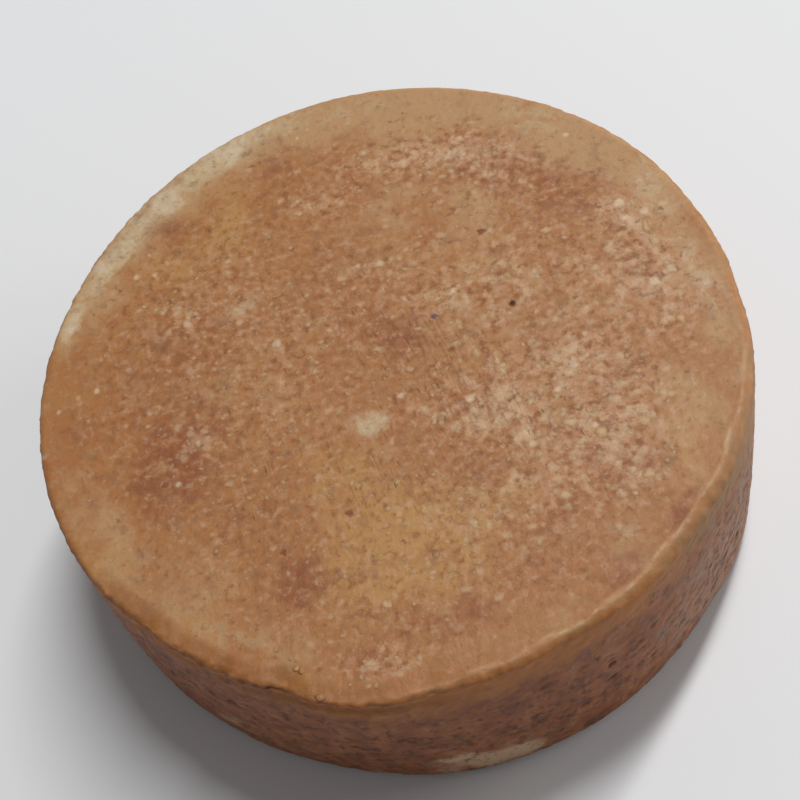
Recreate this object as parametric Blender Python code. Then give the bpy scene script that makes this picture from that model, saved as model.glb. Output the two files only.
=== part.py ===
# Shaving soap puck: a round cake of hard soap sliced from a log cast in a tube.
# The cake is one solid. The grains that show in its cut top face are solids of their own,
# each seated in a small pocket of the cake.
# Metres, +Z up. The origin is the centre of the base, on the surface that the puck lies on.
import math

import bmesh
import bpy
from mathutils import Vector

# Driving dimensions
PUCK_RADIUS = 0.0375
PUCK_HEIGHT = 0.024
TOP_EDGE_RADIUS = 0.0011
BASE_EDGE_RADIUS = 0.0016
WALL_BARREL = 0.0003
SEAT_GAP = 0.0003

# Mesh fineness
PUCK_SIDES = 120
EDGE_STEPS = 4
WALL_STEPS = 4
GRAIN_SIDES = 12
POCKET_CLEARANCE = 0.001

# Where the mould and the hand left the wall out of round:
# direction and spread in degrees, then how far it stands out at the top and at the base.
WALL_SWELLS = [
    (8, 16, -0.0005, -0.0003),
    (82, 24, 0.0004, 0.0002),
    (142, 16, -0.0003, -0.0003),
    (218, 10, -0.0003, -0.0002),
    (238, 18, 0.0, -0.0007),
    (252, 9, 0.0008, -0.0001),
    (283, 10, -0.0004, 0.0),
    (308, 9, -0.0003, -0.0002),
    (326, 9, 0.0001, 0.0004),
    (351, 7, -0.0004, -0.0002),
]

# Every grain of a kind has one material: base colour, roughness.
GRAIN_MATERIALS = {
    "dark_grain": ((0.035, 0.028, 0.026), 0.45),
    "brown_grain": ((0.190, 0.060, 0.025), 0.45),
    "cream_fleck": ((0.640, 0.470, 0.300), 0.60),
}

# Grains: name, kind, place on the top face, length, width, depth, turn in degrees.
GRAINS = [
    ("dark_grain_left", "dark_grain", (0.0065, 0.0026), 0.0009, 0.0008, 0.0006, 20),
    ("dark_grain_right", "dark_grain", (0.0146, 0.0012), 0.0010, 0.0008, 0.0007, 70),
    ("brown_grain_left", "brown_grain", (-0.0250, -0.0074), 0.0013, 0.0010, 0.0008, 35),
    ("brown_grain_front", "brown_grain", (-0.0077, -0.0170), 0.0011, 0.0010, 0.0008, 0),
    ("brown_grain_front_left", "brown_grain", (-0.0149, -0.0189), 0.0011, 0.0009, 0.0007, 110),
    ("brown_grain_middle", "brown_grain", (0.0071, -0.0020), 0.0011, 0.0010, 0.0007, 50),
    ("brown_grain_back", "brown_grain", (0.0143, 0.0116), 0.0012, 0.0008, 0.0006, 15),
    ("cream_fleck_middle", "cream_fleck", (-0.0003, 0.0008), 0.0016, 0.0014, 0.0008, 0),
    ("cream_fleck_back_right", "cream_fleck", (0.0308, 0.0055), 0.0020, 0.0011, 0.0008, 75),
    ("cream_fleck_right", "cream_fleck", (0.0301, -0.0069), 0.0018, 0.0013, 0.0008, 100),
    ("cream_fleck_front_inner", "cream_fleck", (0.0157, -0.0147), 0.0020, 0.0014, 0.0008, 160),
    ("cream_fleck_front_middle", "cream_fleck", (0.0182, -0.0168), 0.0021, 0.0015, 0.0009, 30),
    ("cream_fleck_front_outer", "cream_fleck", (0.0209, -0.0228), 0.0018, 0.0013, 0.0008, 140),
]
GRAIN_CROWN = 0.00006


def clear_scene():
    for obj in list(bpy.data.objects):
        bpy.data.objects.remove(obj, do_unlink=True)


def make_material(name, color, roughness):
    material = bpy.data.materials.new(name)
    material.use_nodes = True
    shader = material.node_tree.nodes["Principled BSDF"]
    shader.inputs["Base Color"].default_value = (*color, 1.0)
    shader.inputs["Roughness"].default_value = roughness
    shader.inputs["Metallic"].default_value = 0.0
    return material


def solid_from_rings(name, rings):
    """A closed object from rings of points, lowest first, each turning anticlockwise."""
    bm = bmesh.new()
    loops = [[bm.verts.new(point) for point in ring] for ring in rings]
    for lower, upper in zip(loops, loops[1:]):
        for i in range(len(lower)):
            j = (i + 1) % len(lower)
            bm.faces.new((lower[i], lower[j], upper[j], upper[i]))
    bm.faces.new(reversed(loops[0]))
    bm.faces.new(loops[-1])
    mesh = bpy.data.meshes.new(name)
    bm.to_mesh(mesh)
    bm.free()
    mesh.shade_smooth()
    mesh.set_sharp_from_angle(angle=math.radians(35))
    obj = bpy.data.objects.new(name, mesh)
    bpy.context.scene.collection.objects.link(obj)
    return obj


def ellipse_ring(half_length, half_width, z):
    turns = [2 * math.pi * i / GRAIN_SIDES for i in range(GRAIN_SIDES)]
    return [Vector((half_length * math.cos(t), half_width * math.sin(t), z)) for t in turns]


def bowl_rings(half_length, half_width, depth):
    """The rounded underside of a grain, from its small flat bottom up to its widest ring at z = 0."""
    rings = []
    for degrees in (20, 40, 65, 90):
        t = math.radians(degrees)
        rings.append(
            ellipse_ring(half_length * math.sin(t), half_width * math.sin(t), -depth * math.cos(t))
        )
    return rings


def swell(degrees, share_of_height):
    """How far the wall stands out from the true circle in this direction and at this height."""
    total = 0.0
    for direction, spread, at_top, at_base in WALL_SWELLS:
        away = (degrees - direction + 180) % 360 - 180
        amount = at_base + (at_top - at_base) * share_of_height
        total += amount * math.exp(-((away / spread) ** 2))
    return total


def puck_profile():
    """Pairs of inset from the wall and height, from the base's edge up to the top's edge."""
    profile = []
    for step in range(EDGE_STEPS + 1):
        t = 0.5 * math.pi * step / EDGE_STEPS
        inset = BASE_EDGE_RADIUS * (1 - math.sin(t))
        profile.append((inset, BASE_EDGE_RADIUS * (1 - math.cos(t))))
    wall_height = PUCK_HEIGHT - BASE_EDGE_RADIUS - TOP_EDGE_RADIUS
    for step in range(1, WALL_STEPS):
        profile.append((0.0, BASE_EDGE_RADIUS + wall_height * step / WALL_STEPS))
    for step in range(EDGE_STEPS + 1):
        t = 0.5 * math.pi * step / EDGE_STEPS
        inset = TOP_EDGE_RADIUS * (1 - math.cos(t))
        profile.append((inset, PUCK_HEIGHT - TOP_EDGE_RADIUS * (1 - math.sin(t))))
    return profile


def puck_rings():
    rings = []
    for inset, z in puck_profile():
        share = z / PUCK_HEIGHT
        barrel = WALL_BARREL * math.sin(math.pi * share)
        ring = []
        for i in range(PUCK_SIDES):
            degrees = 360 * i / PUCK_SIDES
            radius = PUCK_RADIUS + barrel + swell(degrees, share) - inset
            t = math.radians(degrees)
            ring.append(Vector((radius * math.cos(t), radius * math.sin(t), z)))
        rings.append(ring)
    return centred(rings)


def centred(rings):
    """The same rings, moved so that the origin is in the middle of their box, seen from above."""
    xs = [point.x for ring in rings for point in ring]
    ys = [point.y for ring in rings for point in ring]
    middle = Vector(((min(xs) + max(xs)) / 2, (min(ys) + max(ys)) / 2, 0))
    return [[point - middle for point in ring] for ring in rings]


def make_puck(material):
    puck = solid_from_rings("soap_puck", puck_rings())
    puck.data.materials.append(material)
    return puck


def place_on_top(obj, place, turn):
    obj.location = (place[0], place[1], PUCK_HEIGHT - GRAIN_CROWN)
    obj.rotation_euler = (0, 0, math.radians(turn))


def make_grain(name, place, length, width, depth, turn, material):
    """A rounded grain that the cutting wire left almost flat on top, level with the face."""
    rings = bowl_rings(length / 2, width / 2, depth)
    rings.append(ellipse_ring(0.35 * length, 0.35 * width, GRAIN_CROWN))
    grain = solid_from_rings(name, rings)
    grain.data.materials.append(material)
    place_on_top(grain, place, turn)
    return grain


def cut_pocket(puck, name, place, length, width, depth, turn):
    """The grain's seat in the cake: its own shape, larger by the gap all round, open at the top."""
    half_length = length / 2 + SEAT_GAP
    half_width = width / 2 + SEAT_GAP
    rings = bowl_rings(half_length, half_width, depth + SEAT_GAP)
    rings.append(ellipse_ring(half_length, half_width, POCKET_CLEARANCE))
    cutter = solid_from_rings(name + "_pocket_cutter", rings)
    cutter.hide_render = True
    cutter.display_type = "WIRE"
    place_on_top(cutter, place, turn)
    pocket = puck.modifiers.new(name + "_pocket", "BOOLEAN")
    pocket.operation = "DIFFERENCE"
    pocket.solver = "EXACT"
    pocket.object = cutter


def main():
    clear_scene()
    soap = make_material("hard_soap", (0.36, 0.18, 0.085), 0.5)
    grain_materials = {}
    for kind, (color, roughness) in GRAIN_MATERIALS.items():
        grain_materials[kind] = make_material(kind, color, roughness)
    puck = make_puck(soap)
    for name, kind, place, length, width, depth, turn in GRAINS:
        make_grain(name, place, length, width, depth, turn, grain_materials[kind])
        cut_pocket(puck, name, place, length, width, depth, turn)


main()
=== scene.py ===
# A round puck of hard shaving soap: cast in a tube, cut across with a wire, lying on a pale table.
# The cake itself is one dense mesh. Crystals, bubbles and drag marks are scattered over its cut face.
import math

import bmesh
import bpy
import numpy as np
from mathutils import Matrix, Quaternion, Vector


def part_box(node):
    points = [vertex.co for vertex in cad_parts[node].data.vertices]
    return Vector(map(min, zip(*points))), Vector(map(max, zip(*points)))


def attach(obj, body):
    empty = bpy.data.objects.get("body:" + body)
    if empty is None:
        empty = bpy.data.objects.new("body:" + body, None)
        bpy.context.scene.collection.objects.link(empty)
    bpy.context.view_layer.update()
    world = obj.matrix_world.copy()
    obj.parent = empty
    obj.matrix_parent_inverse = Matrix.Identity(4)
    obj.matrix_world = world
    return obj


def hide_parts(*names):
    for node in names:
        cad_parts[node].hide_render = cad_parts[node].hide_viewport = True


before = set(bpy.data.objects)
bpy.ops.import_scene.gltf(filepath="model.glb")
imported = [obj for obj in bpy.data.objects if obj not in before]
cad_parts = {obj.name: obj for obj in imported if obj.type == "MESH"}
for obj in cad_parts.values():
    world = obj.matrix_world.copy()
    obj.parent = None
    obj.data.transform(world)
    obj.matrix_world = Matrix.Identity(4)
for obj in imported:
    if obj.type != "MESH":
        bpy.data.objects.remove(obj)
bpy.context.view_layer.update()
mm = 0.001
print("frame loaded")


# Small helpers

def addNode(tree, kind, inputs=None, **settings):
    node = tree.nodes.new(kind)
    for name, value in settings.items():
        setattr(node, name, value)
    for key, value in (inputs or {}).items():
        if isinstance(value, bpy.types.Node):
            value = value.outputs[0]
        if isinstance(value, bpy.types.NodeSocket):
            tree.links.new(value, node.inputs[key])
        else:
            node.inputs[key].default_value = value
    return node


def linear(hexColor):
    channels = [int(hexColor[i:i + 2], 16) / 255 for i in (1, 3, 5)]
    return tuple(c / 12.92 if c <= 0.04045 else ((c + 0.055) / 1.055) ** 2.4 for c in channels) + (1.0,)


def meshObject(name, points, faces):
    mesh = bpy.data.meshes.new(name)
    mesh.from_pydata([tuple(p) for p in points], [], faces)
    mesh.shade_smooth()
    obj = bpy.data.objects.new(name, mesh)
    bpy.context.scene.collection.objects.link(obj)
    return obj


def keepFloats(mesh, name, values):
    layer = mesh.attributes.new(name, "FLOAT", "POINT")
    layer.data.foreach_set("value", np.asarray(values, np.float32))


def newTree(name, inputs):
    tree = bpy.data.node_groups.new(name, "GeometryNodeTree")
    tree.interface.new_socket("Geometry", in_out="INPUT", socket_type="NodeSocketGeometry")
    for label, kind in inputs.items():
        tree.interface.new_socket(label, in_out="INPUT", socket_type="NodeSocket" + kind)
    tree.interface.new_socket("Geometry", in_out="OUTPUT", socket_type="NodeSocketGeometry")
    return tree


def grown(name, source, tree, values):
    # the tree runs once on a copy of the source, and its result is kept as a plain mesh
    holder = bpy.data.objects.new(name + "Holder", source.data.copy())
    bpy.context.scene.collection.objects.link(holder)
    modifier = holder.modifiers.new(tree.name, "NODES")
    modifier.node_group = tree
    for item in tree.interface.items_tree:
        if item.in_out == "INPUT" and item.name in values:
            modifier[item.identifier] = values[item.name]
    holder.update_tag()
    graph = bpy.context.evaluated_depsgraph_get()
    mesh = bpy.data.meshes.new_from_object(holder.evaluated_get(graph), depsgraph=graph)
    mesh.name = name
    bpy.data.objects.remove(holder)
    obj = bpy.data.objects.new(name, mesh)
    bpy.context.scene.collection.objects.link(obj)
    return obj


# The cake: its own sizes, in millimetres and degrees

cake = {
    "faceRings": 110,        # rings of points across the cut face
    "wallRows": 74,          # rows of points up the wall
    "edgeSteps": 7,
    "baseSteps": 5,
    "baseEdge": 1.6,
    "topEdge": 1.1,          # the CAD model's rounding of the rim
    "tighter": 0.35,         # how much less the rim is rounded all round
    "sharpEdge": [(248, 13, 0.30), (215, 12, 0.2), (320, 32, -0.40)],    # direction, spread, less rounding
    "lipHeight": 0.10,       # burr that the wire pulled up along the right-hand rim
    "lipWidth": 0.24,
    "ragged": [(222, 17, 1.0), (245, 14, 0.8), (270, 10, 0.4), (318, 12, 0.3), (345, 10, 0.4),
               (130, 25, 0.4)],     # direction, spread, how torn
    "raggedEverywhere": 0.12,
    "raggedDepth": 0.28,     # how far the torn rim juts and sinks
    "raggedWidth": 1.1,      # how far in the tearing goes, and the browning beside it
    "brownedWidth": 2.3,
    "smoothRing": 4.4,       # how far in the soap set smooth against the tube
    "lipSpan": [(295, 34, 1.0), (330, 16, 0.5), (20, 20, 0.35)],
    "undercut": [(250, 13, 0.55), (222, 10, 0.3)],     # the wall draws back under the rim here
    "undercutHeight": 22.3,
    "undercutReach": 0.75,
    "chips": [(240.5, 1.7, 0.40), (231, 0.9, 0.3), (262, 1.0, 0.25), (216, 1.1, 0.25), (312, 0.8, 0.12)],
    "chipRadius": 37,        # the rim's own radius, on which the chips' widths are measured
    "wallRipple": 0.22,      # how far the wall waves in and out
    "wallRippleWidth": 7.0,
    "faceRipple": 0.07,
    "faceRippleWidth": 5.0,
    "pitWidth": 1.4,
    "pitDepth": 0.34,
    "crumbHeight": 0.05,
    "crumbWidth": 1.0,
    "wallGrain": 0.30,
}

# Stains and zones of the cut face: place, half length, half width, turn in degrees, strength.
faceZones = {
    "stain": [
        (-19.3, 26.0, 5.5, 2.4, -25, 0.9), (-6.0, 33.4, 3.4, 2.0, 0, 0.8),
        (-4.4, 28.0, 6.0, 3.6, 80, 0.55), (-23.5, -4.5, 7.5, 6.0, 60, 0.9),
        (-25.0, -8.0, 3.0, 3.4, 0, 0.6), (-14.0, -22.5, 4.5, 3.4, 20, 0.95),
        (-9.5, -25.5, 4.0, 2.6, 60, 0.5), (-20.0, 9.0, 10.0, 6.0, 10, 0.55),
        (1.8, 1.8, 5.0, 2.6, -40, 0.75), (-3.0, 12.0, 8.0, 5.0, 20, 0.35),
        (16.8, 21.0, 9.0, 5.0, -35, 0.6), (25.0, 14.0, 5.0, 5.5, 0, 0.6), (29.0, 1.5, 3.0, 3.6, 0, 0.5),
        (4.5, -17.5, 7.5, 4.5, -20, 0.55), (-1.8, -31.0, 6.0, 2.4, 0, 0.6),
        (22.6, -27.4, 3.0, 1.3, 45, 1.0), (15.5, -31.5, 3.4, 1.6, 20, 0.8),
        (-10.0, -32.6, 3.6, 1.6, -10, 0.6), (17.0, -4.5, 6.0, 2.6, 15, 0.35),
        (23.0, -9.5, 3.2, 2.4, 30, 0.5), (10.0, -24.5, 5.5, 3.0, 10, 0.4),
        (20.5, -21.5, 4.0, 3.0, 0, 0.6), (14.0, 7.0, 3.6, 3.4, 0, 0.5), (-17.5, -13.0, 5.5, 4.0, 0, 0.45),
        (-27.0, -19.0, 5.0, 4.0, 0, 0.4), (28.5, -1.0, 3.0, 3.0, 0, 0.4), (-33.0, 2.0, 2.4, 3.0, 0, 0.45),
        (-34.0, -6.5, 1.8, 1.4, 0, 0.5), (6.0, 33.0, 3.4, 2.0, 0, 0.1),
    ],
    "ochre": [
        (-5.0, -22.0, 7.5, 6.0, 30, 1.0), (-8.0, -13.0, 4.5, 4.5, 60, 0.55),
        (-13.0, 24.0, 5.0, 5.0, 0, 0.5), (9.5, -5.0, 5.0, 2.2, 0, 0.4), (7.5, -21.0, 4.5, 3.0, 0, 0.5),
        (0.5, -20.5, 4.0, 3.5, 0, 0.6), (-33.0, -14.5, 2.2, 5.0, 20, 0.6),
        (-27.0, -24.5, 5.0, 2.0, -40, 0.5), (26.0, -20.5, 5.0, 2.2, 50, 0.6),
        (11.5, 9.0, 5.0, 4.0, 0, 0.4), (-20.0, 19.5, 4.0, 3.0, 0, 0.4), (1.5, -26.0, 5.0, 3.0, 0, 0.6),
        (-17.5, -32.5, 5.0, 1.6, -28, 0.7),
    ],
    "pale": [
        (-3.0, 34.5, 13.0, 3.4, 0, 1.0), (17.5, 31.0, 9.0, 3.4, -30, 0.9),
        (-18.0, 30.5, 9.0, 5.0, 30, 1.0), (-29.5, 20.0, 8.0, 4.0, 58, 0.9), (33.5, 8.0, 3.5, 9.0, 0, 0.6),
        (27.5, 20.0, 4.5, 8.0, 40, 0.9), (33.5, -8.0, 3.0, 9.0, 0, 0.5),
        (27.0, -21.0, 3.0, 8.0, -45, 0.3), (-26.0, -21.0, 7.0, 3.5, -45, 0.2),
        (24.0, -1.0, 7.0, 6.0, 0, 0.35), (13.0, 8.0, 6.0, 5.0, 0, 0.2), (7.0, 18.0, 6.0, 4.0, 0, 0.4),
        (-21.5, -24.0, 10.0, 4.4, -40, 0.30), (13.5, 14.0, 4.5, 3.4, 0, 0.5),
        (13.0, 30.0, 7.0, 3.4, 0, 0.7), (21.0, 27.0, 4.0, 3.0, -40, 0.5),
        (26.0, -17.0, 4.0, 6.0, -40, 0.3), (5.0, 33.0, 8.0, 3.0, 0, 0.5),
        (-32.5, -9.0, 3.0, 7.0, 15, 0.6),
    ],
    "bloom": [
        (-25.8, 23.6, 6.5, 2.0, 43, 1.0), (-31.8, 16.4, 3.2, 1.3, 58, 0.9),
        (-3.4, -7.8, 2.6, 1.7, 0, 0.75), (-26.5, -16.5, 5.0, 4.0, 60, 0.2),
        (-21.5, -26.5, 7.0, 3.0, -38, 0.25), (-10.5, 34.0, 8.0, 2.6, 12, 0.9),
        (-19.0, 30.0, 6.0, 3.0, 33, 0.85), (-12.8, 11.6, 3.4, 2.2, 0, 0.45),
        (4.0, 35.0, 9.0, 2.0, -5, 0.35), (33.0, 9.5, 2.6, 5.5, 0, 0.5), (34.0, -3.0, 2.0, 6.0, 0, 0.5),
        (24.5, 24.5, 3.0, 6.0, 45, 0.4), (-20.8, -3.6, 1.8, 1.3, 0, 0.5), (28.5, -15.0, 2.8, 3.6, 0, 0.2),
        (16.5, -28.5, 3.0, 2.0, 20, 0.3), (-35.5, -0.5, 1.6, 5.0, 0, 0.15),
    ],
    "flecked": [
        (17.5, -17.0, 9.0, 5.5, 20, 0.85), (8.5, -10.0, 7.5, 5.0, -25, 0.8),
        (18.5, -8.0, 7.0, 4.5, 0, 0.75), (30.5, -1.0, 4.0, 7.5, 0, 0.85), (24.5, 1.5, 4.0, 4.0, 0, 0.6),
        (10.0, 25.0, 9.0, 3.0, -5, 0.8), (-1.5, 22.5, 4.5, 3.0, 0, 0.55),
        (17.5, 21.0, 7.0, 4.0, -30, 0.65), (29.5, 8.5, 3.6, 3.6, 0, 0.9), (7.5, 3.5, 5.0, 3.0, -20, 0.5),
        (-21.0, -3.8, 2.6, 1.6, 0, 0.7), (-20.0, 13.5, 6.0, 2.4, -15, 0.35),
        (-8.5, -33.3, 6.5, 2.0, -8, 0.75), (19.5, -22.5, 4.0, 2.6, 30, 0.45),
        (4.0, -20.0, 4.5, 3.0, 0, 0.25), (13.5, 4.0, 5.0, 4.0, 0, 0.35), (-12.0, -4.0, 9.0, 7.0, 0, 0.25),
        (1.0, 8.0, 10.0, 7.0, 0, 0.25), (19.0, 2.0, 14.0, 20.0, 0, 0.32),
        (2.0, -24.0, 18.0, 9.0, 0, 0.25), (-14.0, 10.0, 12.0, 12.0, 0, 0.32),
    ],
    "dragged": [
        (2.5, 1.0, 5.5, 6.5, 0, 1.0), (7.0, -7.5, 7.0, 8.0, 0, 0.75), (-4.0, -14.0, 6.0, 6.0, 0, 0.6),
        (-12.0, -6.0, 6.0, 8.0, 0, 0.45), (-24.0, -22.0, 5.0, 5.0, 0, 0.2),
        (13.0, -14.0, 5.0, 7.0, 0, 0.4),
    ],
    "sparkling": [
        (-12.0, 6.0, 12.0, 9.0, 0, 0.9), (-14.0, -10.0, 12.0, 10.0, 0, 1.0),
        (-18.0, 16.0, 8.0, 6.0, 0, 0.7), (0.0, -16.0, 14.0, 10.0, 0, 0.5), (10.0, 24.0, 9.0, 4.0, 0, 0.6),
        (-8.5, -32.0, 7.0, 3.0, 0, 1.0), (16.0, -12.0, 12.0, 9.0, 0, 0.5), (4.0, 6.0, 12.0, 10.0, 0, 0.6),
    ],
    "bubbly": [
        (0.0, -18.0, 11.0, 9.0, 0, 1.0), (-16.0, -6.0, 10.0, 10.0, 0, 0.6),
        (12.0, -3.0, 12.0, 12.0, 0, 0.6), (-18.0, -24.0, 8.0, 6.0, 0, 0.5),
        (2.0, 20.0, 20.0, 9.0, 0, 0.45), (24.0, 12.0, 7.0, 9.0, 0, 0.6),
    ],
}

# Zones of the wall: direction, height, half length along the wall, half height, strength.
wallZones = {
    "smear": [
        (269, 3.6, 5.0, 2.2, 0.95), (262, 5.6, 2.6, 1.6, 0.7), (342, 9.0, 5.0, 4.0, 0.55),
        (300, 5.0, 7.0, 1.6, 0.3), (30, 8.0, 8.0, 3.0, 0.4), (75, 5.0, 6.0, 2.4, 0.5),
        (110, 15.0, 7.0, 3.0, 0.35), (150, 7.0, 9.0, 2.5, 0.5), (190, 12.0, 6.0, 3.0, 0.35),
        (225, 6.0, 5.0, 2.0, 0.4), (355, 16.0, 5.0, 3.0, 0.4),
    ],
    "pitted": [
        (322, 9.0, 14.0, 8.0, 1.0), (345, 12.0, 10.0, 9.0, 0.8), (285, 10.0, 10.0, 6.0, 0.6),
        (250, 11.0, 12.0, 7.0, 0.5), (222, 14.0, 10.0, 6.0, 0.7), (60, 12.0, 18.0, 8.0, 0.9),
        (110, 8.0, 12.0, 6.0, 0.7), (160, 13.0, 16.0, 8.0, 0.9), (195, 9.0, 8.0, 6.0, 0.6),
        (20, 9.0, 10.0, 7.0, 0.8),
    ],
    # dust on the wall, and painted sheen where the right-hand wall catches the light
    "dustAndPaintedSheen": [
        (328, 9.0, 14.0, 12.0, 0.8), (347, 9.0, 9.0, 12.0, 0.75), (310, 9.0, 8.0, 12.0, 0.4),
        (60, 10.0, 14.0, 8.0, 0.4), (150, 12.0, 14.0, 9.0, 0.3),
    ],
    # painted glow: light through the translucent soap just under the front rim, put in as orange colour
    "paintedGlow": [
        (290, 22.8, 15.0, 3.2, 1.0), (268, 22.6, 10.0, 3.0, 1.0), (250, 22.4, 8.0, 2.0, 0.9),
        (218, 22.6, 13.0, 1.8, 0.9),
    ],
    "tan": [
        (318, 23.2, 12.0, 3.4, 0.9), (342, 22.8, 14.0, 4.5, 0.95), (5, 23.0, 12.0, 2.6, 0.8),
        (35, 23.2, 12.0, 1.6, 0.7), (75, 23.0, 18.0, 1.8, 0.6), (120, 23.0, 14.0, 2.2, 0.6),
        (165, 23.0, 16.0, 2.0, 0.5),
    ],
}


def spreadOver(x, y, marks):
    total = np.zeros_like(x)
    for cx, cy, halfLength, halfWidth, turn, strength in marks:
        c, s = math.cos(math.radians(turn)), math.sin(math.radians(turn))
        along = ((x - cx) * c + (y - cy) * s) / halfLength
        across = ((y - cy) * c - (x - cx) * s) / halfWidth
        total = 1 - (1 - total) * (1 - strength * np.exp(-(along ** 2 + across ** 2) ** 1.3))
    return total


def turnFrom(degrees, direction):
    return (degrees - direction + 180) % 360 - 180


def spreadRound(degrees, z, radius, marks):
    total = np.zeros_like(z)
    for direction, height, halfLength, halfHeight, strength in marks:
        along = np.radians(turnFrom(degrees, direction)) * radius / halfLength
        up = (z - height) / halfHeight
        total = 1 - (1 - total) * (1 - strength * np.exp(-(along ** 2 + up ** 2)))
    return total


def bump(degrees, marks):
    total = np.zeros_like(degrees)
    for direction, spread, amount in marks:
        total += amount * np.exp(-(turnFrom(degrees, direction) / spread) ** 2)
    return total


def waver(degrees, first, second, shift):
    # an uneven wave round the cake, from two even ones
    turn = np.radians(degrees)
    return np.sin(turn * first) * np.sin(turn * second + shift)


def cadWall(node, directions):
    # the CAD wall's radius in each direction, at each of its levels
    points = np.array([v.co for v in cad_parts[node].data.vertices]) / mm
    radius = np.hypot(points[:, 0], points[:, 1])
    turn = np.degrees(np.arctan2(points[:, 1], points[:, 0])) % 360
    levels = np.round(points[:, 2], 2)
    rows = {}
    for level in np.unique(levels):
        here = (levels == level) & (radius > 0.9 * radius.max())
        if cake["baseEdge"] - 0.01 <= level <= height - cake["topEdge"] + 0.01 and here.sum() > 60:
            rows[level] = np.interp(directions, turn[here], radius[here], period=360)
    return np.array(list(rows)), np.array(list(rows.values()))


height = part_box("soap_puck")[1][2] / mm
sides = 6 * cake["faceRings"]


def rimRounding(degrees):
    return np.clip(cake["topEdge"] - cake["tighter"] - bump(degrees, cake["sharpEdge"]), 0.3, None)


def cakePoints():
    directions = 360 * np.arange(sides) / sides
    levels, radii = cadWall("soap_puck", directions)
    edge = rimRounding(directions)
    base = cake["baseEdge"]
    rows = []

    def wallAt(z):
        share = np.clip(np.interp(z, levels, np.arange(len(levels))), 0, len(levels) - 1.001)
        low = share.astype(int)
        column = np.arange(sides)
        return radii[low, column] + (radii[low + 1, column] - radii[low, column]) * (share - low)

    footWall = wallAt(np.full(sides, base))
    for step in range(cake["baseSteps"]):
        t = math.pi / 2 * step / cake["baseSteps"]
        rows.append((footWall - base * (1 - math.sin(t)), np.full(sides, base * (1 - math.cos(t)))))
    for step in range(cake["wallRows"]):
        z = base + (height - edge - base) * step / cake["wallRows"]
        rows.append((wallAt(z), z))
    for step in range(cake["edgeSteps"] + 1):
        t = math.pi / 2 * step / cake["edgeSteps"]
        rows.append((wallAt(height - edge) - edge * (1 - math.cos(t)), height - edge * (1 - math.sin(t))))
    turn = np.radians(directions)
    points = [np.column_stack([r * np.cos(turn), r * np.sin(turn), z]) for r, z in rows]
    inward = [np.zeros(sides)] * (cake["baseSteps"] + cake["wallRows"])
    for r, z in rows[cake["baseSteps"] + cake["wallRows"]:]:
        inward.append(wallAt(z) - r)
    rim = rows[-1][0]
    for ring in range(cake["faceRings"] - 1, 0, -1):
        count = 6 * ring
        turns = 360 * np.arange(count) / count
        full = np.interp(turns, directions, rim, period=360)
        r = full * ring / cake["faceRings"]
        around = np.radians(turns)
        points.append(np.column_stack([r * np.cos(around), r * np.sin(around), np.full(count, height)]))
        inward.append(full - r + np.interp(turns, directions, edge, period=360))
    points.append(np.array([[0.0, 0.0, height]]))
    inward.append(np.array([rim.mean()]))
    return np.vstack(points), np.concatenate(inward), len(rows)


def cakeFaces(rowCount):
    faces = [list(range(sides - 1, -1, -1))]
    for row in range(rowCount - 1):
        for i in range(sides):
            j = (i + 1) % sides
            faces.append((row * sides + i, row * sides + j, (row + 1) * sides + j, (row + 1) * sides + i))
    outer = (rowCount - 1) * sides
    for ring in range(cake["faceRings"], 0, -1):
        inner = outer + 6 * ring
        for sector in range(6):
            for j in range(ring):
                a = outer + sector * ring + j
                b = outer + (sector * ring + j + 1) % (6 * ring)
                c = inner + (sector * (ring - 1) + j) % max(1, 6 * (ring - 1))
                faces.append((a, b, c))
                if j < ring - 1:
                    d = inner + (sector * (ring - 1) + j + 1) % (6 * (ring - 1))
                    faces.append((b, d, c))
        outer = inner
    return faces


def shapedRim(points, inward):
    # burr, undercut and chips along the rim
    degrees = np.degrees(np.arctan2(points[:, 1], points[:, 0])) % 360
    lip = bump(degrees, cake["lipSpan"])
    wander = 0.3 * waver(degrees, 23, 9, 1)
    lip = lip * (0.75 + 0.25 * waver(degrees, 31, 13, 2))
    onLip = np.exp(-((inward - rimRounding(degrees) - 0.1 + wander) / cake["lipWidth"]) ** 2)
    onTop = np.clip((points[:, 2] - height + 1.2) / 1.0, 0, 1)
    points[:, 2] += cake["lipHeight"] * np.clip(lip, 0, 1) * onLip * onTop
    below = (points[:, 2] - cake["undercutHeight"]) / cake["undercutReach"]
    under = np.exp(-below ** 2) * bump(degrees, cake["undercut"])
    chip = np.zeros(len(points))
    for direction, width, depth in cake["chips"]:
        along = np.radians(turnFrom(degrees, direction)) * cake["chipRadius"] / width
        down = np.hypot(inward, height - points[:, 2]) / (1.6 * width)
        chip = np.maximum(chip, depth * np.exp(-(along ** 4)) * np.exp(-(down ** 2)))
    radius = np.hypot(points[:, 0], points[:, 1])
    shrink = 1 - (under + chip) / np.maximum(radius, 1)
    points[:, 0] *= shrink
    points[:, 1] *= shrink
    points[:, 2] -= chip * 0.8 * (inward > 0)
    return lip, onLip * onTop, chip


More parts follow.
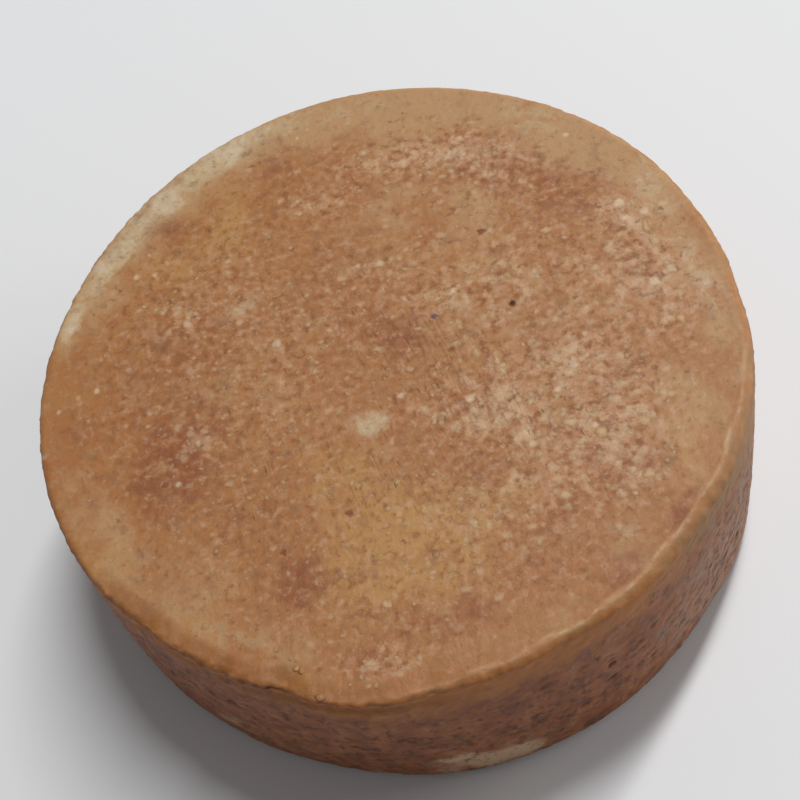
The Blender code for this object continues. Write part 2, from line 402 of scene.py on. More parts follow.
def makeCake():
    points, inward, rowCount = cakePoints()
    lip, onLip, chip = shapedRim(points, inward)
    obj = meshObject("cakeBlank", points * mm, cakeFaces(rowCount))
    x, y, z = points.T
    degrees = np.degrees(np.arctan2(y, x)) % 360
    onFace = np.clip(inward / 0.5, 0, 1)
    smooth = np.exp(-(inward / cake["smoothRing"]) ** 2) * onFace
    for name, marks in faceZones.items():
        amount = spreadOver(x, y, marks)
        if name == "flecked":
            amount = amount - 0.9 * smooth * (1 - amount)
        keepFloats(obj.data, name, amount * onFace)
    # where the colour of the wall gives way to that of the face, along an uneven line
    edgeShift = 0.35 * waver(degrees, 5, 17, 2) + 0.2 * np.sin(np.radians(degrees) * 41)
    shifted = inward - 0.03 + 0.3 * edgeShift * np.clip(inward / 0.3, 0, 1)
    bandWidth = 0.25 + 0.4 * bump(degrees, cake["lipSpan"])
    keepFloats(obj.data, "wall", 1 - np.clip(shifted / bandWidth, 0, 1))
    keepFloats(obj.data, "smooth", smooth)
    calm = smooth
    for name in ("pale", "bloom"):
        calm = np.maximum(calm, spreadOver(x, y, faceZones[name]))
    keepFloats(obj.data, "calm", calm * onFace)
    keepFloats(obj.data, "flaky", (spreadOver(x, y, faceZones["flecked"]) * (1 - smooth) * onFace) ** 2)
    fromRim = np.hypot(inward, np.clip(height - z, 0, None))
    ragged = bump(degrees, cake["ragged"])
    torn = np.clip(cake["raggedEverywhere"] + ragged, 0, 1)
    keepFloats(obj.data, "ragged", torn * np.exp(-(fromRim / cake["raggedWidth"]) ** 2))
    browned = np.clip(ragged, 0, 1) * np.exp(-(inward / cake["brownedWidth"]) ** 4)
    keepFloats(obj.data, "browned", browned * onFace)
    dried = np.clip(lip, 0, 1) * np.exp(-(inward / (0.85 * rimRounding(degrees))) ** 4)
    keepFloats(obj.data, "dried", dried * onFace)
    # where the painted highlight along the burr goes
    keepFloats(obj.data, "paintedRimHighlight", np.clip(lip, 0, 1) * onLip)
    radius = np.hypot(x, y)
    for name, marks in wallZones.items():
        keepFloats(obj.data, name, spreadRound(degrees, z, radius, marks) * np.exp(-(inward / 2.0) ** 2))
    return obj


# Relief of the cake, as a node tree

def reliefTree():
    sizes = ["Wall Ripple", "Wall Ripple Width", "Face Ripple", "Face Ripple Width",
             "Pit Width", "Pit Depth", "Crumb Height", "Crumb Width", "Wall Grain", "Ragged Depth"]
    tree = newTree("cakeRelief", {**{name: "Float" for name in sizes}, "Material": "Material"})
    given = addNode(tree, "NodeGroupInput").outputs
    place = addNode(tree, "GeometryNodeInputPosition")
    wall = addNode(tree, "GeometryNodeInputNamedAttribute", {"Name": "wall"}, data_type="FLOAT")
    face = addNode(tree, "ShaderNodeMath", {0: 1.0, 1: wall}, operation="SUBTRACT")
    smooth = addNode(tree, "GeometryNodeInputNamedAttribute", {"Name": "smooth"}, data_type="FLOAT")
    waves = {}
    for name, detail in (("Wall Ripple", 5.0), ("Face Ripple", 3.0), ("Crumb", 2.0)):
        scale = addNode(tree, "ShaderNodeMath", {0: 1.0, 1: given[name + " Width"]}, operation="DIVIDE")
        noise = addNode(tree, "ShaderNodeTexNoise", {"Vector": place, "Scale": scale, "Detail": detail})
        waves[name] = addNode(tree, "ShaderNodeMath", {0: noise.outputs[0], 1: 0.5}, operation="SUBTRACT")
    flat = addNode(tree, "ShaderNodeVectorMath", {0: place, 1: (0.8, 0.8, 1.7)}, operation="MULTIPLY")
    pitScale = addNode(tree, "ShaderNodeMath", {0: 1.0, 1: given["Pit Width"]}, operation="DIVIDE")
    pits = addNode(tree, "ShaderNodeTexVoronoi", {"Vector": flat, "Scale": pitScale})
    luck = addNode(tree, "ShaderNodeSeparateXYZ", {0: pits.outputs["Color"]})
    reach = addNode(tree, "ShaderNodeMath", {0: luck, 1: 0.55, 2: -0.12}, operation="MULTIPLY_ADD")
    reach = addNode(tree, "ShaderNodeMath", {0: reach, 1: pits.outputs["Distance"]}, operation="SUBTRACT")
    pit = addNode(tree, "ShaderNodeMapRange", {"Value": reach, "From Min": -0.12, "From Max": 0.18},
                  interpolation_type="SMOOTHSTEP")
    pitted = addNode(tree, "GeometryNodeInputNamedAttribute", {"Name": "pitted"}, data_type="FLOAT")
    often = addNode(tree, "ShaderNodeMapRange", {"Value": pitted.outputs[0], "To Min": 0.15})
    pit = addNode(tree, "ShaderNodeMath", {0: pit, 1: often}, operation="MULTIPLY")
    pit = addNode(tree, "ShaderNodeMath", {0: pit, 1: wall}, operation="MULTIPLY")
    depth = addNode(tree, "ShaderNodeMath", {0: pit, 1: given["Pit Depth"]}, operation="MULTIPLY")
    rise = addNode(tree, "ShaderNodeMath", {0: waves["Wall Ripple"], 1: given["Wall Ripple"]},
                   operation="MULTIPLY")
    rise = addNode(tree, "ShaderNodeMath", {0: rise, 1: wall}, operation="MULTIPLY")
    rise = addNode(tree, "ShaderNodeMath", {0: rise, 1: depth}, operation="SUBTRACT")
    dip = addNode(tree, "ShaderNodeMath", {0: waves["Face Ripple"], 1: given["Face Ripple"]},
                  operation="MULTIPLY")
    crumb = addNode(tree, "ShaderNodeMath", {0: waves["Crumb"], 1: given["Crumb Height"]},
                    operation="MULTIPLY")
    calm = addNode(tree, "ShaderNodeMath", {0: 1.0, 1: smooth}, operation="SUBTRACT")
    crumb = addNode(tree, "ShaderNodeMath", {0: crumb, 1: calm}, operation="MULTIPLY")
    dip = addNode(tree, "ShaderNodeMath", {0: dip, 1: crumb}, operation="ADD")
    dip = addNode(tree, "ShaderNodeMath", {0: dip, 1: face}, operation="MULTIPLY")
    rise = addNode(tree, "ShaderNodeMath", {0: rise, 1: dip}, operation="ADD")
    rough = addNode(tree, "ShaderNodeMath", {0: waves["Crumb"], 1: given["Wall Grain"]},
                    operation="MULTIPLY")
    rough = addNode(tree, "ShaderNodeMath", {0: rough, 1: wall}, operation="MULTIPLY")
    rise = addNode(tree, "ShaderNodeMath", {0: rise, 1: rough}, operation="ADD")
    ragged = addNode(tree, "GeometryNodeInputNamedAttribute", {"Name": "ragged"}, data_type="FLOAT")
    torn = addNode(tree, "ShaderNodeMath", {0: waves["Crumb"], 1: given["Ragged Depth"]},
                   operation="MULTIPLY")
    torn = addNode(tree, "ShaderNodeMath", {0: torn, 1: ragged}, operation="MULTIPLY")
    rise = addNode(tree, "ShaderNodeMath", {0: torn, 1: 3.0, 2: rise}, operation="MULTIPLY_ADD")
    split = addNode(tree, "ShaderNodeSeparateXYZ", {0: place})
    # none of it at the very base, which stays flat on the table
    offBase = addNode(tree, "ShaderNodeMapRange",
                      {"Value": split.outputs["Z"], "From Min": 0.0, "From Max": 0.6 * mm})
    rise = addNode(tree, "ShaderNodeMath", {0: rise, 1: offBase}, operation="MULTIPLY")
    normal = addNode(tree, "GeometryNodeInputNormal")
    offset = addNode(tree, "ShaderNodeVectorMath", {0: normal, "Scale": rise}, operation="SCALE")
    # the pit mask is kept for the shader, which paints shade inside the pits
    marked = addNode(tree, "GeometryNodeStoreNamedAttribute",
                     {"Geometry": given["Geometry"], "Name": "pit", "Value": pit}, data_type="FLOAT")
    moved = addNode(tree, "GeometryNodeSetPosition", {"Geometry": marked, "Offset": offset})
    whole = addNode(tree, "GeometryNodeRealizeInstances", {"Geometry": moved})
    painted = addNode(tree, "GeometryNodeSetMaterial", {"Geometry": whole, "Material": given["Material"]})
    addNode(tree, "NodeGroupOutput", {0: painted})
    return tree


# Small things scattered on the cake, as a node tree

def scatterTree():
    inputs = {name: "Float" for name in ["Length", "Width", "Thickness", "Sink", "Spacing", "Per Area",
                                         "Size Spread", "Turn", "Turn Spread", "Lumpiness"]}
    tree = newTree("scatterOnCake", {**inputs, "Where": "String", "Seed": "Int", "Material": "Material"})
    given = addNode(tree, "NodeGroupInput").outputs
    where = addNode(tree, "GeometryNodeInputNamedAttribute", {"Name": given["Where"]}, data_type="FLOAT")
    spots = addNode(tree, "GeometryNodeDistributePointsOnFaces",
                    {"Mesh": given["Geometry"], "Distance Min": given["Spacing"],
                     "Density Max": given["Per Area"], "Density Factor": where, "Seed": given["Seed"]},
                    distribute_method="POISSON")
    pebble = addNode(tree, "GeometryNodeMeshUVSphere", {"Radius": 0.5, "Segments": 9, "Rings": 5})
    place = addNode(tree, "GeometryNodeInputPosition")
    flat = addNode(tree, "ShaderNodeVectorMath", {0: place, 1: (2.0, 2.0, 0.0)}, operation="MULTIPLY")
    outward = addNode(tree, "ShaderNodeVectorMath", {0: flat}, operation="LENGTH").outputs["Value"]
    pebble = addNode(tree, "GeometryNodeStoreNamedAttribute",
                     {"Geometry": pebble, "Name": "outward", "Value": outward}, data_type="FLOAT")
    size = addNode(tree, "ShaderNodeCombineXYZ",
                   {0: given["Length"], 1: given["Width"], 2: given["Thickness"]})
    sink = addNode(tree, "ShaderNodeMath", {0: given["Sink"], 1: -1.0}, operation="MULTIPLY")
    down = addNode(tree, "ShaderNodeCombineXYZ", {2: sink})
    pebble = addNode(tree, "GeometryNodeTransform", {"Geometry": pebble, "Translation": down, "Scale": size})
    least = addNode(tree, "ShaderNodeMath", {0: 1.0, 1: given["Size Spread"]}, operation="SUBTRACT")
    most = addNode(tree, "ShaderNodeMath", {0: 1.0, 1: given["Size Spread"]}, operation="ADD")
    scale = addNode(tree, "FunctionNodeRandomValue", {2: least, 3: most, "Seed": given["Seed"]},
                    data_type="FLOAT")
    low = addNode(tree, "ShaderNodeMath", {0: given["Turn"], 1: given["Turn Spread"]}, operation="SUBTRACT")
    high = addNode(tree, "ShaderNodeMath", {0: given["Turn"], 1: given["Turn Spread"]}, operation="ADD")
    otherSeed = addNode(tree, "ShaderNodeMath", {0: given["Seed"], 1: 7.0}, operation="ADD")
    turn = addNode(tree, "FunctionNodeRandomValue", {2: low, 3: high, "Seed": otherSeed}, data_type="FLOAT")
    spin = addNode(tree, "ShaderNodeCombineXYZ", {2: turn.outputs[1]})
    placed = addNode(tree, "GeometryNodeInstanceOnPoints",
                     {"Points": spots.outputs["Points"], "Instance": pebble, "Rotation": spin,
                      "Scale": scale.outputs[1]})
    toneSeed = addNode(tree, "ShaderNodeMath", {0: given["Seed"], 1: 13.0}, operation="ADD")
    tone = addNode(tree, "FunctionNodeRandomValue", {"Seed": toneSeed}, data_type="FLOAT")
    toned = addNode(tree, "GeometryNodeStoreNamedAttribute",
                    {"Geometry": placed, "Name": "tone", "Value": tone.outputs[1]},
                    data_type="FLOAT", domain="INSTANCE")
    whole = addNode(tree, "GeometryNodeRealizeInstances", {"Geometry": toned})
    lumpScale = addNode(tree, "ShaderNodeMath", {0: 1.3, 1: given["Width"]}, operation="DIVIDE")
    lumps = addNode(tree, "ShaderNodeTexNoise", {"Scale": lumpScale, "Detail": 1.0})
    centred = addNode(tree, "ShaderNodeVectorMath", {0: lumps.outputs["Color"], 1: (0.5, 0.5, 0.5)},
                      operation="SUBTRACT")
    reach = addNode(tree, "ShaderNodeMath", {0: given["Lumpiness"], 1: given["Width"]}, operation="MULTIPLY")
    shift = addNode(tree, "ShaderNodeVectorMath", {0: centred, "Scale": reach}, operation="SCALE")
    shift = addNode(tree, "ShaderNodeVectorMath", {0: shift, 1: (1.0, 1.0, 0.03)}, operation="MULTIPLY")
    shaped = addNode(tree, "GeometryNodeSetPosition", {"Geometry": whole, "Offset": shift})
    painted = addNode(tree, "GeometryNodeSetMaterial", {"Geometry": shaped, "Material": given["Material"]})
    addNode(tree, "NodeGroupOutput", {0: painted})
    return tree


# Materials

# Clouds of colour in the soap: size in mm, detail, roughness, stretch along x y z, turn in degrees.
clouds = {
    "drifts": dict(size=10.0, detail=4.0, rough=0.55, stretch=(1, 1, 1), turn=0),
    "blotches": dict(size=4.2, detail=4.0, rough=0.6, stretch=(1, 1, 1), turn=0),
    "mottle": dict(size=1.9, detail=4.0, rough=0.6, stretch=(1, 1, 1), turn=0),
    "curds": dict(size=2.3, detail=5.0, rough=0.68, stretch=(1, 1, 1), turn=0),
    "clots": dict(size=1.25, detail=4.0, rough=0.65, stretch=(1, 1, 1), turn=0),
    "grain": dict(size=0.85, detail=3.0, rough=0.6, stretch=(1, 1, 1), turn=0),
    "dust": dict(size=0.40, detail=2.0, rough=0.6, stretch=(1, 1, 1), turn=0),
    "streaks": dict(size=0.30, detail=2.0, rough=0.5, stretch=(8, 1, 1), turn=82),
    "bands": dict(size=2.6, detail=5.0, rough=0.65, stretch=(1, 1, 1.3), turn=0),
    "dashes": dict(size=1.0, detail=3.0, rough=0.6, stretch=(1, 1, 1.2), turn=0),
}
# Spots in the soap: spacing in mm, how unequal they are, how crooked their outlines are, and where in
# the endless pattern they start.
spots = {
    "flecks": dict(size=1.30, uneven=0.9, crooked=0.60, start=0),
    "sparkles": dict(size=2.20, uneven=0.8, crooked=0.20, start=2),
    "dots": dict(size=1.10, uneven=0.8, crooked=0.55, start=3),
}

# Colours laid over each other. Each says the pattern it follows, the zone that raises it, by how much,
# where it starts and is full, and how strongly it covers.
faceLayers = [
    ("#9D6035", "drifts", None, 0, 0.46, 0.74, 0.45),
    ("#B08952", "drifts", None, 0, 0.46, 0.22, 0.45),
    ("#96542C", "blotches", None, 0, 0.52, 0.76, 0.60),
    ("#8C4C2B", "blotches", "stain", 0.40, 0.56, 0.96, 0.78),
    ("#B5864A", "blotches", "ochre", 0.48, 0.50, 0.88, 0.80),
    ("#B48D67", "clots", None, 0, 0.48, 0.72, 0.55),
    ("#B69065", "blotches", "pale", 0.48, 0.48, 0.88, 0.80),
    ("#C2A983", "mottle", "bloom", 0.48, 0.58, 0.88, 0.80),
    ("#CFC0A8", "curds", "bloom", 0.28, 0.64, 0.92, 0.60),
    ("#824426", "mottle", "stain", 0.20, 0.54, 0.82, 0.62),
    ("#8A502D", "grain", "calm", -0.10, 0.48, 0.70, 0.50),
    ("#BE8F6D", "grain", "flecked", -0.14, 0.46, 0.28, 0.45),
    ("#C09774", "clots", "flecked", 0.14, 0.56, 0.78, 0.65),
    ("#CAA783", "curds", "flecked", 0.22, 0.64, 0.86, 0.78),
    ("#7E4828", "grain", "flecked", 0.10, 0.60, 0.76, 0.50),
    ("#CFAE89", "flecks", "flecked", 0.28, 0.42, 0.84, 0.50),
    ("#E2CAAA", "sparkles", "flecked", 0.10, 0.52, 0.70, 0.50),
    ("#7A4422", "dots", "calm", -0.40, 0.22, 0.56, 0.34),
    # dark drag lines: torn soap, and painted shade in the wire's grooves
    ("#6E3D20", "streaks", "dragged", 0.22, 0.68, 0.88, 0.40),
    ("#8E5628", "blotches", "browned", 0.45, 0.60, 0.95, 0.75),
    ("#94704B", "mottle", "dried", 0.50, 0.52, 0.92, 0.80),
    ("#64391E", "clots", "ragged", 0.20, 0.70, 0.92, 0.45),
]
wallLayers = [
    ("#603623", "bands", None, 0, 0.42, 0.68, 0.70),
    ("#A97A56", "bands", None, 0, 0.46, 0.28, 0.55),
    ("#B68D6A", "clots", "smear", 0.10, 0.54, 0.80, 0.60),
    ("#C9A585", "blotches", "smear", 0.58, 0.60, 0.90, 0.90),
    # pale dust, and painted sheen on the right-hand wall
    ("#A18670", "bands", "dustAndPaintedSheen", 0.55, 0.56, 0.94, 0.55),
    ("#452419", "dashes", "pitted", 0.12, 0.54, 0.72, 0.62),
    # painted shade inside the pits
    ("#31180F", "mottle", "pit", 0.50, 0.56, 0.88, 0.80),
    # painted glow of light through the soap under the rim
    ("#AE6F38", "mottle", "paintedGlow", 0.50, 0.56, 1.00, 0.80),
    ("#94704B", "mottle", "tan", 0.50, 0.52, 0.92, 0.85),
    ("#5B321D", "clots", "ragged", 0.24, 0.66, 0.90, 0.55),
]
colours = {"face": "#A67040", "wall": "#965C3B", "paintedRimHighlight": "#CFB18A"}


def startMaterial(name):
    material = bpy.data.materials.new(name)
    material.use_nodes = True
    material.node_tree.nodes.clear()
    return material, material.node_tree


def finishMaterial(tree, inputs):
    shader = addNode(tree, "ShaderNodeBsdfPrincipled", inputs)
    addNode(tree, "ShaderNodeOutputMaterial", {"Surface": shader})


def zone(tree, name):
    return addNode(tree, "ShaderNodeAttribute", attribute_name=name).outputs["Fac"]


def soapPatterns(tree):
    place = addNode(tree, "ShaderNodeTexCoord").outputs["Object"]
    made = {}
    for number, (name, p) in enumerate(clouds.items()):
        scale = tuple(1 / (p["size"] * mm * s) for s in p["stretch"])
        turned = addNode(tree, "ShaderNodeMapping",
                         {"Vector": place, "Rotation": (0, 0, math.radians(p["turn"]))})
        mapped = addNode(tree, "ShaderNodeMapping",
                         {"Vector": turned, "Location": (number * 3.1, 7.0, number * 1.7), "Scale": scale})
        made[name] = addNode(tree, "ShaderNodeTexNoise",
                             {"Vector": mapped, "Scale": 1.0, "Detail": p["detail"],
                              "Roughness": p["rough"]}).outputs[0]
    for name, p in spots.items():
        mapped = addNode(tree, "ShaderNodeMapping",
                         {"Vector": place, "Location": (p["start"] * 5.3, 2.0, 4.0),
                          "Scale": (1 / (p["size"] * mm),) * 3})
        wander = addNode(tree, "ShaderNodeTexNoise", {"Vector": mapped, "Scale": 1.8, "Detail": 2.0})
        bent = addNode(tree, "ShaderNodeVectorMath",
                       {0: wander.outputs["Color"], 1: (p["crooked"],) * 3, 2: mapped},
                       operation="MULTIPLY_ADD")
        cell = addNode(tree, "ShaderNodeTexVoronoi", {"Vector": bent, "Scale": 1.0})
        luck = addNode(tree, "ShaderNodeSeparateColor", {0: cell.outputs["Color"]})
        made[name] = addNode(tree, "ShaderNodeMath",
                             {0: luck.outputs[0], 1: p["uneven"]}, operation="MULTIPLY")
        made[name] = addNode(tree, "ShaderNodeMath",
                             {0: made[name], 1: cell.outputs["Distance"]}, operation="SUBTRACT").outputs[0]
    return made


def layered(tree, color, layers, made):
    color = linear(color)
    for hexColor, pattern, name, push, start, full, most in layers:
        amount = made[pattern]
        if name:
            amount = addNode(tree, "ShaderNodeMath", {0: zone(tree, name), 1: push, 2: amount},
                             operation="MULTIPLY_ADD")
        cover = addNode(tree, "ShaderNodeMapRange",
                        {"Value": amount, "From Min": start, "From Max": full,
                         "To Min": 0.0, "To Max": most},
                        interpolation_type="SMOOTHSTEP")
        color = addNode(tree, "ShaderNodeMix", {0: cover, 6: color, 7: linear(hexColor)},
                        data_type="RGBA").outputs[2]
    return color


def soapColour(tree, made):
    face = layered(tree, colours["face"], faceLayers, made)
    side = layered(tree, colours["wall"], wallLayers, made)
    color = addNode(tree, "ShaderNodeMix", {0: zone(tree, "wall"), 6: face, 7: side}, data_type="RGBA")
    # painted highlight along the burr, broken where the mottle is dark
    broken = addNode(tree, "ShaderNodeMapRange",
                     {"Value": made["mottle"], "From Min": 0.40, "From Max": 0.60,
                      "To Min": 0.0, "To Max": 0.9})
    line = addNode(tree, "ShaderNodeMath", {0: zone(tree, "paintedRimHighlight"), 1: broken}, operation="MULTIPLY")
    return addNode(tree, "ShaderNodeMix", {0: line, 6: color.outputs[2], 7: linear(colours["paintedRimHighlight"])},
                   data_type="RGBA").outputs[2]


def soapRelief(tree, made, strength):
    rise = addNode(tree, "ShaderNodeMath", {0: made["mottle"], 1: 0.7, 2: made["grain"]},
                   operation="MULTIPLY_ADD")
    rise = addNode(tree, "ShaderNodeMath", {0: made["dust"], 1: 0.4, 2: rise}, operation="MULTIPLY_ADD")
    combed = addNode(tree, "ShaderNodeMath", {0: made["streaks"], 1: zone(tree, "dragged")},
                     operation="MULTIPLY")
    rise = addNode(tree, "ShaderNodeMath", {0: combed, 1: 0.3, 2: rise}, operation="MULTIPLY_ADD")
    return addNode(tree, "ShaderNodeBump", {"Height": rise, "Strength": strength, "Distance": 0.2 * mm})


def castSoap():
    # Hard tallow soap, cast and cut: waxy, a little translucent, mottled by the lye and by drying.
    material, tree = startMaterial("Cast tallow soap, wire cut")
    made = soapPatterns(tree)
    gloss = addNode(tree, "ShaderNodeMapRange",
                    {"Value": made["mottle"], "From Min": 0.3, "From Max": 0.7,
                     "To Min": 0.42, "To Max": 0.60})
    # the side dried in open air, so it is duller than the cut
    gloss = addNode(tree, "ShaderNodeMath", {0: zone(tree, "wall"), 1: 0.10, 2: gloss},
                    operation="MULTIPLY_ADD")
    finishMaterial(tree, {
        "Base Color": soapColour(tree, made),
        "Roughness": gloss,
        "Normal": soapRelief(tree, made, 0.4),
        "IOR": 1.45,
        "Specular IOR Level": 0.3,
        "Subsurface Weight": 0.25,
        "Subsurface Radius": (1.0, 0.45, 0.2),
        "Subsurface Scale": 1.6 * mm,
    })
    return material


def soapWith(name, hexColor, middle, edge, most, torn, roughness, scatter):
    # the cake's own soap, which turns to another colour between the two distances from each spot's middle.
    # "torn" is how far the soap's clots break up that outline
    material, tree = startMaterial(name)
    made = soapPatterns(tree)
    amount = addNode(tree, "ShaderNodeMath", {0: zone(tree, "tone"), 1: -0.3, 2: zone(tree, "outward")},
                     operation="MULTIPLY_ADD")
    amount = addNode(tree, "ShaderNodeMath", {0: made["clots"], 1: torn, 2: amount},
                     operation="MULTIPLY_ADD")
    cover = addNode(tree, "ShaderNodeMapRange",
                    {"Value": amount, "From Min": edge, "From Max": middle, "To Min": 0.0, "To Max": most},
                    interpolation_type="SMOOTHSTEP")
    color = addNode(tree, "ShaderNodeMix", {0: cover, 6: soapColour(tree, made), 7: linear(hexColor)},
                    data_type="RGBA").outputs[2]
    finishMaterial(tree, {
        "Base Color": color,
        "Roughness": roughness,
        "Normal": soapRelief(tree, made, 0.4),
        "IOR": 1.45,
        "Specular IOR Level": 0.3,
        "Subsurface Weight": scatter,
        "Subsurface Radius": (1.0, 0.6, 0.35),
        "Subsurface Scale": 0.8 * mm,
    })
    return material


print("building the cake")
soap = castSoap()
blank = makeCake()
relief = reliefTree()
soapCake = grown("soapCake", blank, relief, {
    "Wall Ripple": cake["wallRipple"] * mm,
    "Wall Ripple Width": cake["wallRippleWidth"] * mm,
    "Face Ripple": cake["faceRipple"] * mm,
    "Face Ripple Width": cake["faceRippleWidth"] * mm,
    "Pit Width": cake["pitWidth"] * mm,
    "Pit Depth": cake["pitDepth"] * mm,
    "Crumb Height": cake["crumbHeight"] * mm,
    "Crumb Width": cake["crumbWidth"] * mm,
    "Wall Grain": cake["wallGrain"] * mm,
    "Ragged Depth": cake["raggedDepth"] * mm,
    "Material": soap,
})
bpy.data.objects.remove(blank)
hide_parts("soap_puck")
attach(soapCake, "root")
print("cake", len(soapCake.data.polygons), "faces")


# What is scattered over the cut face, sizes in mm

scattered = {
    "stearicFlakes": dict(length=1.5, width=1.1, thickness=0.09, sink=0.036, spacing=0.8, perArea=0.60,
                          sizeSpread=0.55, turn=0, turnSpread=180, lumpiness=0.7, where="flaky", seed=4),
    "skinBubbles": dict(length=1.1, width=1.05, thickness=0.12, sink=0.045, spacing=1.3, perArea=0.22,
                        sizeSpread=0.35, turn=0, turnSpread=180, lumpiness=0.3, where="bubbly", seed=9),
    "fineCrystals": dict(length=0.90, width=0.60, thickness=0.05, sink=0.019, spacing=0.7, perArea=0.40,
                         sizeSpread=0.60, turn=0, turnSpread=180, lumpiness=0.8, where="sparkling", seed=15),
    "dragMarks": dict(length=1.1, width=0.13, thickness=0.05, sink=0.018, spacing=0.7, perArea=0.08,
                      sizeSpread=0.6, turn=-82, turnSpread=6, lumpiness=0.5, where="dragged", seed=3),
}
scatterLooks = {
    # stearic acid that set in flakes: matt and creamy, and fading into the soap at its edges
    "stearicFlakes": soapWith("Stearic flakes", "#CCAB86", 0.45, 1.45, 0.75, 1.6, 0.60, 0.2),
    # thin soap skin over a bubble, with a slight gloss; the darker ring round it is painted shade at its
    # edge
    "skinBubbles": soapWith("Soap skin over bubbles with painted shade ring", "#7C4A28", 1.05, 0.60, 0.40, 0.8, 0.55, 0.2),
    # single stearic crystals, pale partly from their own cream colour and partly as painted highlight for
    # the glints they catch
    "fineCrystals": soapWith("Fine stearic crystals with painted glints", "#CDA985", 0.35, 1.30, 0.62, 1.4, 0.60, 0.2),
    # torn soap in a groove of the cutting wire, dry; its dark colour is partly the soap's own and partly
    # painted shade of the groove
    "dragMarks": soapWith("Torn soap in drag marks with painted groove shade", "#5C3824", 0.5, 1.3, 0.70, 0.6, 0.8, 0.0),
}
spread = scatterTree()
for name, sizes in scattered.items():
    piece = grown(name, soapCake, spread, {
        "Length": sizes["length"] * mm,
        "Width": sizes["width"] * mm,
        "Thickness": sizes["thickness"] * mm,
        "Sink": sizes["sink"] * mm,
        "Spacing": sizes["spacing"] * mm,
        "Per Area": sizes["perArea"] / mm ** 2,
        "Size Spread": sizes["sizeSpread"],
        "Turn": math.radians(sizes["turn"]),
        "Turn Spread": math.radians(sizes["turnSpread"]),
        "Lumpiness": sizes["lumpiness"],
        "Where": sizes["where"],
        "Seed": sizes["seed"],
        "Material": scatterLooks[name],
    })
    piece.data.shade_smooth()
    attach(piece, "root")
    print(name, len(piece.data.polygons), "faces")


# The grains that the CAD model seats in pockets

grain = {
    "rings": 10,
    "sides": 20,
    "shoulder": 0.02,        # how far below the CAD grain's top it is widest, in mm
    "stands": {"dark_grain": 0.08, "brown_grain": 0.04, "cream_fleck": 0.02},   # above the cut face, in mm
    "lumps": {"dark_grain": 0.12, "brown_grain": 0.12, "cream_fleck": 0.22},    # how crooked the outline is
}
grainLooks = {
    # bits of plant husk, almost black, that bled into the soap round them
    "dark_grain": soapWith("Charred plant husk", "#3A2320", 0.80, 1.40, 0.95, 0.9, 0.75, 0.0),
    # the same husk, greyed by the lye
    "dark_grain_left": soapWith("Greyed plant husk", "#575160", 0.70, 1.40, 0.85, 0.9, 0.75, 0.0),
    # beads of browned sugar, half dissolved into the soap
    "brown_grain": soapWith("Browned sugar bead", "#7C4024", 0.70, 1.45, 0.85, 1.1, 0.55, 0.2),
    # the largest flakes of stearic acid
    "cream_fleck": soapWith("Stearic flake, large", "#CCB088", 0.50, 1.60, 0.80, 1.5, 0.60, 0.2),
}


def pebble(name, low, high, seed, stands, lumps, tone):
    # a rounded lump that fills the CAD grain's box, with a low dome that stands out of the face
    middle = (low + high) / 2
    half = (high - low) / 2
    widest = half[2] - grain["shoulder"] * mm
    crownHeight = half[2] + stands * mm
    luck = np.random.default_rng(seed)
    waves = luck.normal(0, lumps, (3, 3))
    points = []
    outward = []
    for ring in range(1, grain["rings"]):
        t = math.pi * ring / grain["rings"]
        for side in range(grain["sides"]):
            a = 2 * math.pi * side / grain["sides"]
            lobes = sum(waves[k][0] * math.cos((k + 2) * a + 9 * waves[k][1]) for k in range(3))
            swell = 1 + lobes * math.sin(t)
            z = widest + math.cos(t) * (crownHeight - widest if t < math.pi / 2 else half[2] + widest)
            outward.append(math.sin(t))
            points.append(middle + Vector((half[0] * swell * math.sin(t) * math.cos(a),
                                           half[1] * swell * math.sin(t) * math.sin(a), z)))
    bm = bmesh.new()
    made = [bm.verts.new(p) for p in points]
    n = grain["sides"]
    for ring in range(grain["rings"] - 2):
        for i in range(n):
            j = (i + 1) % n
            upper, lower = ring * n, (ring + 1) * n
            bm.faces.new((made[upper + i], made[lower + i], made[lower + j], made[upper + j]))
    crown = bm.verts.new(middle + Vector((0, 0, crownHeight)))
    foot = bm.verts.new(middle - Vector((0, 0, half[2])))
    for i in range(n):
        j = (i + 1) % n
        bm.faces.new((crown, made[i], made[j]))
        bm.faces.new((foot, made[-n + j], made[-n + i]))
    mesh = bpy.data.meshes.new(name)
    bm.to_mesh(mesh)
    bm.free()
    mesh.shade_smooth()
    keepFloats(mesh, "tone", np.full(len(mesh.vertices), tone))
    keepFloats(mesh, "outward", outward + [0, 0])
    obj = bpy.data.objects.new(name, mesh)
    bpy.context.scene.collection.objects.link(obj)
    return obj


seed = 20
for node in sorted(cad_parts):
    kind = next((k for k in grain["stands"] if node.startswith(k)), None)
    if kind is None:
        continue
    seed += 1
    low, high = (Vector(corner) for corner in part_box(node))
    tone = 0.2 + 0.6 * (seed * 0.37 % 1)
    piece = pebble(node + "_pebble", low, high, seed, grain["stands"][kind], grain["lumps"][kind], tone)
    piece.data.materials.append(grainLooks.get(node, grainLooks[kind]))
    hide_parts(node)
    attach(piece, "root")
print("grains seated")


# Table, light and camera

studio = {
    "tableHalf": 1.5,
    "tableColor": "#E4E4E4",
    "tableShade": "#C8C8C8",
    "skylight": (0.577, 0.669, 1.6),     # middle of the long skylight, metres
    "skylightSize": (1.2, 0.115),
    "skylightTurn": 44,                  # its long side, degrees from the x axis
    "skylightPower": 27.8,
    "sidelight": (0.7, 0.05, 0.18),
    "sidelightSize": (0.4, 0.3),
    "sidelightPower": 2.1,
    "lampColor": (0.985, 0.992, 1.0),
    "fill": 0.20,                        # light from everywhere
    "fillColor": (0.97, 0.98, 1.0, 1),
}


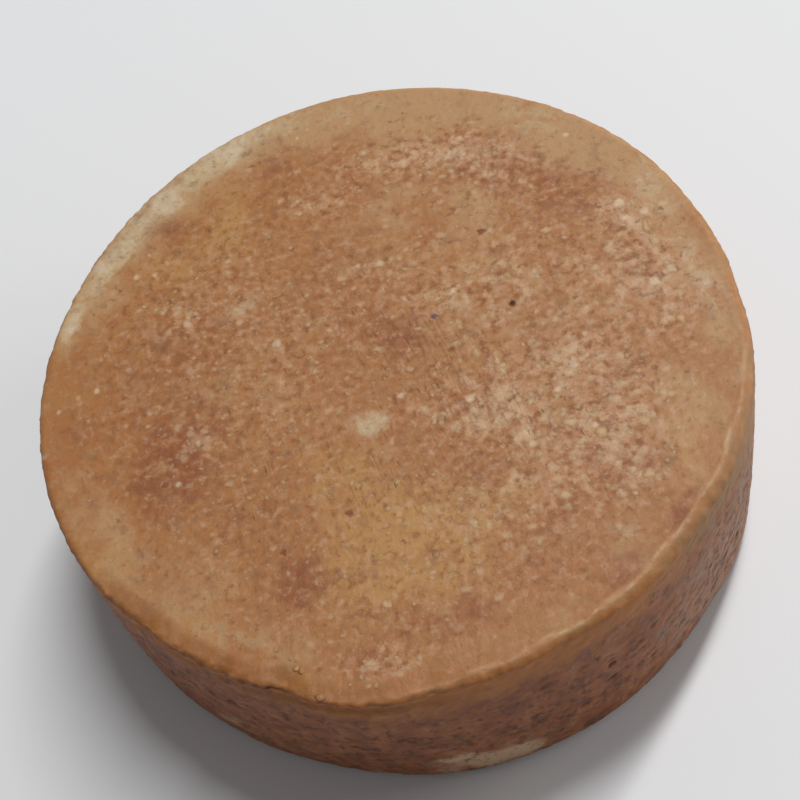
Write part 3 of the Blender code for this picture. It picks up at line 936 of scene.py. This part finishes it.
def makeTable():
    half = studio["tableHalf"]
    corners = [(-half, -half, 0), (half, -half, 0), (half, half, 0), (-half, half, 0)]
    table = meshObject("table", corners, [(0, 1, 2, 3)])
    # coated board: pale, matt, barely grained
    material, tree = startMaterial("Matt coated board")
    place = addNode(tree, "ShaderNodeTexCoord").outputs["Object"]
    shades = addNode(tree, "ShaderNodeTexNoise", {"Vector": place, "Scale": 4.0, "Detail": 2.0})
    amount = addNode(tree, "ShaderNodeMapRange", {"Value": shades, "To Min": 0.0, "To Max": 0.06})
    color = addNode(tree, "ShaderNodeMix",
                    {0: amount, 6: linear(studio["tableColor"]), 7: linear(studio["tableShade"])},
                    data_type="RGBA")
    finishMaterial(tree, {"Base Color": color.outputs[2], "Roughness": 0.75})
    table.data.materials.append(material)


def makeLamp(name, place, size, turn, power):
    # a flat panel that faces the middle of the cake
    lamp = bpy.data.lights.new(name, "AREA")
    lamp.shape = "RECTANGLE"
    lamp.size, lamp.size_y = size
    lamp.energy = power
    lamp.color = studio["lampColor"]
    panel = bpy.data.objects.new(name, lamp)
    panel.location = place
    panel.rotation_mode = "QUATERNION"
    if turn is None:
        panel.rotation_quaternion = Vector(place).to_track_quat("Z", "Y")
    else:
        panel.rotation_quaternion = Quaternion((0, 0, 1), math.radians(turn))
    bpy.context.scene.collection.objects.link(panel)


def makeLight():
    for name, turn in (("skylight", studio["skylightTurn"]), ("sidelight", None)):
        makeLamp(name, studio[name], studio[name + "Size"], turn, studio[name + "Power"])
    world = bpy.data.worlds.new("softRoom")
    world.use_nodes = True
    sky = world.node_tree.nodes["Background"]
    sky.inputs["Color"].default_value = studio["fillColor"]
    sky.inputs["Strength"].default_value = studio["fill"]
    bpy.context.scene.world = world


eye = {
    "place": (-0.31, -90.28, 151.53),    # mm
    "aim": (0.346, 1.814, 12.0),
    "turn": -17.24,                      # roll about its own axis, degrees
    "lens": 67.5,
}


def makeCamera():
    camera = bpy.data.cameras.new("camera")
    camera.lens = eye["lens"]
    camera.sensor_width = 36
    camera.clip_start = 0.01
    obj = bpy.data.objects.new("camera", camera)
    obj.location = Vector(eye["place"]) * mm
    back = Vector(eye["place"]) - Vector(eye["aim"])
    obj.rotation_mode = "QUATERNION"
    obj.rotation_quaternion = back.to_track_quat("Z", "Y") @ Quaternion((0, 0, 1), math.radians(eye["turn"]))
    bpy.context.scene.collection.objects.link(obj)
    bpy.context.scene.camera = obj


makeTable()
makeLight()
makeCamera()
bpy.context.scene.view_settings.view_transform = "Standard"
print("table, light and camera placed")
